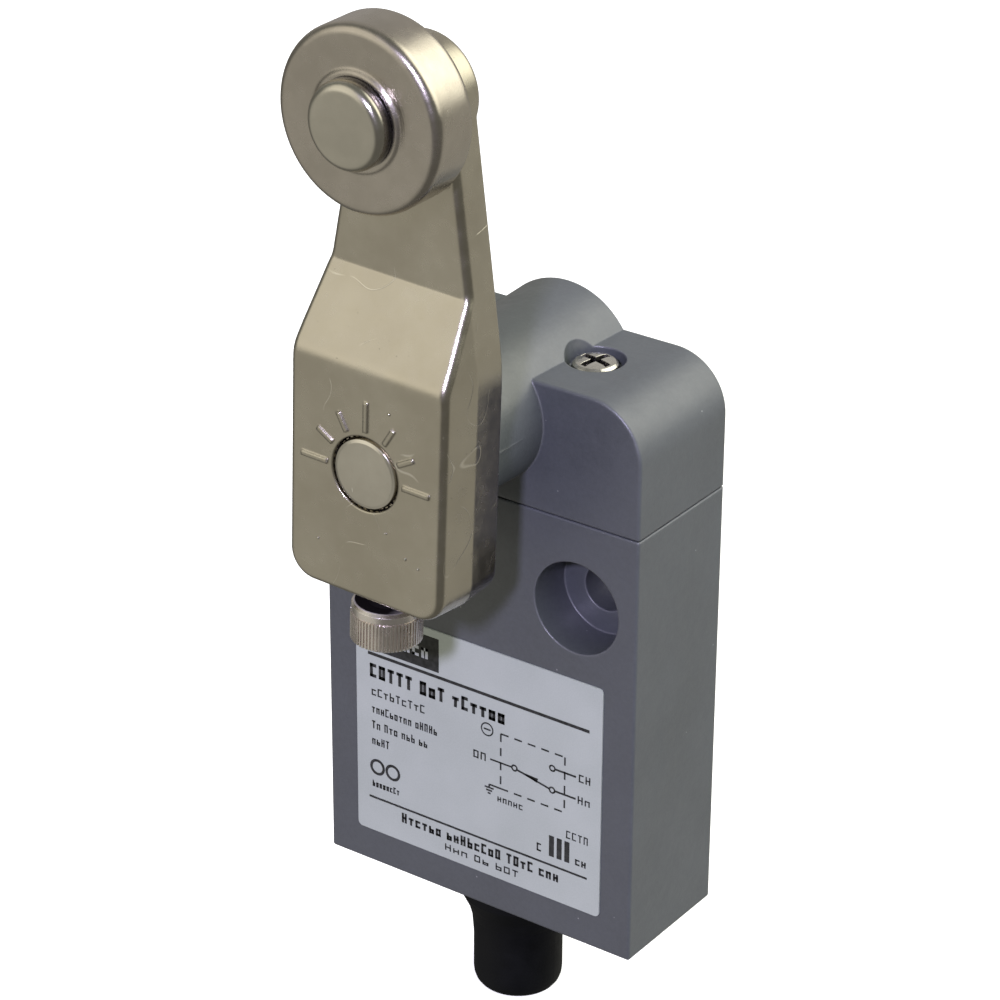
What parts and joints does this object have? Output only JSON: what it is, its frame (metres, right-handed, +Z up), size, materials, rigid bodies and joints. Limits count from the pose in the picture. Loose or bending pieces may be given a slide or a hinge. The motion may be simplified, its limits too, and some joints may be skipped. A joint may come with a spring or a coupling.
{
  "type": "limit switch",
  "caption": "Enclosed limit switch with a sprung roller lever on a side boss, die-cast case and moulded cable exit.",
  "frame": {"origin": "midway between the two mounting holes, on the back face", "axes": "+Z up towards the roller, +Y out of the back face, so the lever is on the -Y side"},
  "size_m": [0.04, 0.0397, 0.1218],
  "materials": {
    "housing_paint": "satin painted die casting, fine texture",
    "lever_metal": "satin nickel over die casting",
    "roller_metal": "turned and tumbled steel",
    "bright_steel": "bright steel",
    "zinc_steel": "zinc-plated steel",
    "rubber": "matt black rubber",
    "resin": "cast black epoxy",
    "nameplate": "satin aluminium foil with dark print",
    "switch_plastic": "moulded phenolic",
    "contact_brass": "rolled brass, silver contacts",
    "bronze": "sintered bronze"
  },
  "bodies": {
    "housing": {"body": "housing_paint", "nameplate": "nameplate", "potting": "resin", "cable_boot": "rubber", "ground_screw": "zinc_steel", "ground_lug": "contact_brass", "head_gasket": "rubber", "head": "housing_paint", "head_screws": "zinc_steel", "front_bush": "bronze", "rear_bush": "bronze", "shaft_seal": "rubber", "thrust_washer": "bright_steel", "plunger_guide": "bronze", "plunger_seal": "rubber", "plunger_spring": "bright_steel", "switch_case": "switch_plastic", "switch_cover": "switch_plastic", "switch_pins": "bright_steel", "common_terminal": "contact_brass", "normally_closed_terminal": "contact_brass", "normally_open_terminal": "contact_brass"},
    "lever": {"lever": "lever_metal", "shaft": "bright_steel", "cam": "bright_steel", "cam_pin": "bright_steel", "retaining_ring": "bright_steel", "clamp_screw": "zinc_steel", "roller_pin": "bright_steel", "roller_washer": "bright_steel"},
    "roller": {"roller": "roller_metal"},
    "plunger": {"plunger": "bright_steel"},
    "button": {"switch_button": "switch_plastic"},
    "blade": {"moving_blade": "contact_brass"}
  },
  "joints": [
    {"name": "lever_swing", "type": "hinge", "parent": "housing", "child": "lever", "pos_m": [0, -0.03, 0.0195], "axis": [0, 1, 0], "range_deg": [-75, 75], "stiffness_Nm_per_rad": 0.2},
    {"name": "roller_spin", "type": "hinge", "parent": "lever", "child": "roller", "pos_m": [0.00126, -0.0348, 0.05758], "axis": [0, 1, 0], "continuous": true},
    {"name": "plunger_slide", "type": "slide", "parent": "housing", "child": "plunger", "axis": [0, 0, 1], "range_m": [-0.0013, 0], "stiffness_N_per_m": 1500, "springref_m": 0.002, "deforming": ["plunger_spring"]},
    {"name": "button_slide", "type": "slide", "parent": "housing", "child": "button", "axis": [0, 0, 1], "range_m": [-0.0013, 0]},
    {"name": "blade_rock", "type": "hinge", "parent": "housing", "child": "blade", "pos_m": [-0.0081, -0.008, -0.0159], "axis": [0, 1, 0], "range_deg": [0, 3]}
  ],
  "couplings": [
    {"joint": "button_slide", "follows": "plunger_slide", "ratio": 1},
    {"joint": "blade_rock", "follows": "plunger_slide", "rad_per_m": -39}
  ]
}
